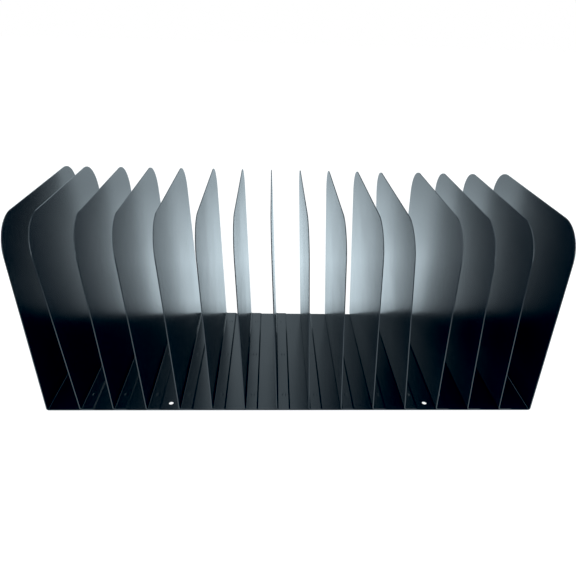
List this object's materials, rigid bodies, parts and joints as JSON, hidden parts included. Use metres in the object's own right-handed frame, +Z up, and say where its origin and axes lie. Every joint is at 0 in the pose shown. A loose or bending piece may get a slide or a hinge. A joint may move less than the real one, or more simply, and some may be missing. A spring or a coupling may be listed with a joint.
{
  "type": "desktop file sorter",
  "caption": "Long low sheet-steel desk rack whose rounded upright dividers are spot-welded to a floor with bent-up end panels, to hold files on edge.",
  "frame": {"origin": "on the desk plane, under the middle of the tray", "axes": "+X to the right along the row of dividers, +Y from the front edge to the back edge, +Z up"},
  "size_m": [0.5724, 0.221, 0.231],
  "materials": {
    "black_enamel": "gloss black baked enamel on thin sheet steel",
    "foot_rubber": "matt black rubber"
  },
  "bodies": {
    "root": {"base_tray": "black_enamel", "divider_01": "black_enamel", "divider_02": "black_enamel", "divider_03": "black_enamel", "divider_04": "black_enamel", "divider_05": "black_enamel", "divider_06": "black_enamel", "divider_07": "black_enamel", "divider_08": "black_enamel", "divider_09": "black_enamel", "divider_10": "black_enamel", "divider_11": "black_enamel", "divider_12": "black_enamel", "divider_13": "black_enamel", "divider_14": "black_enamel", "foot_front_left": "foot_rubber", "foot_front_right": "foot_rubber", "foot_rear_left": "foot_rubber", "foot_rear_right": "foot_rubber"}
  },
  "joints": []
}
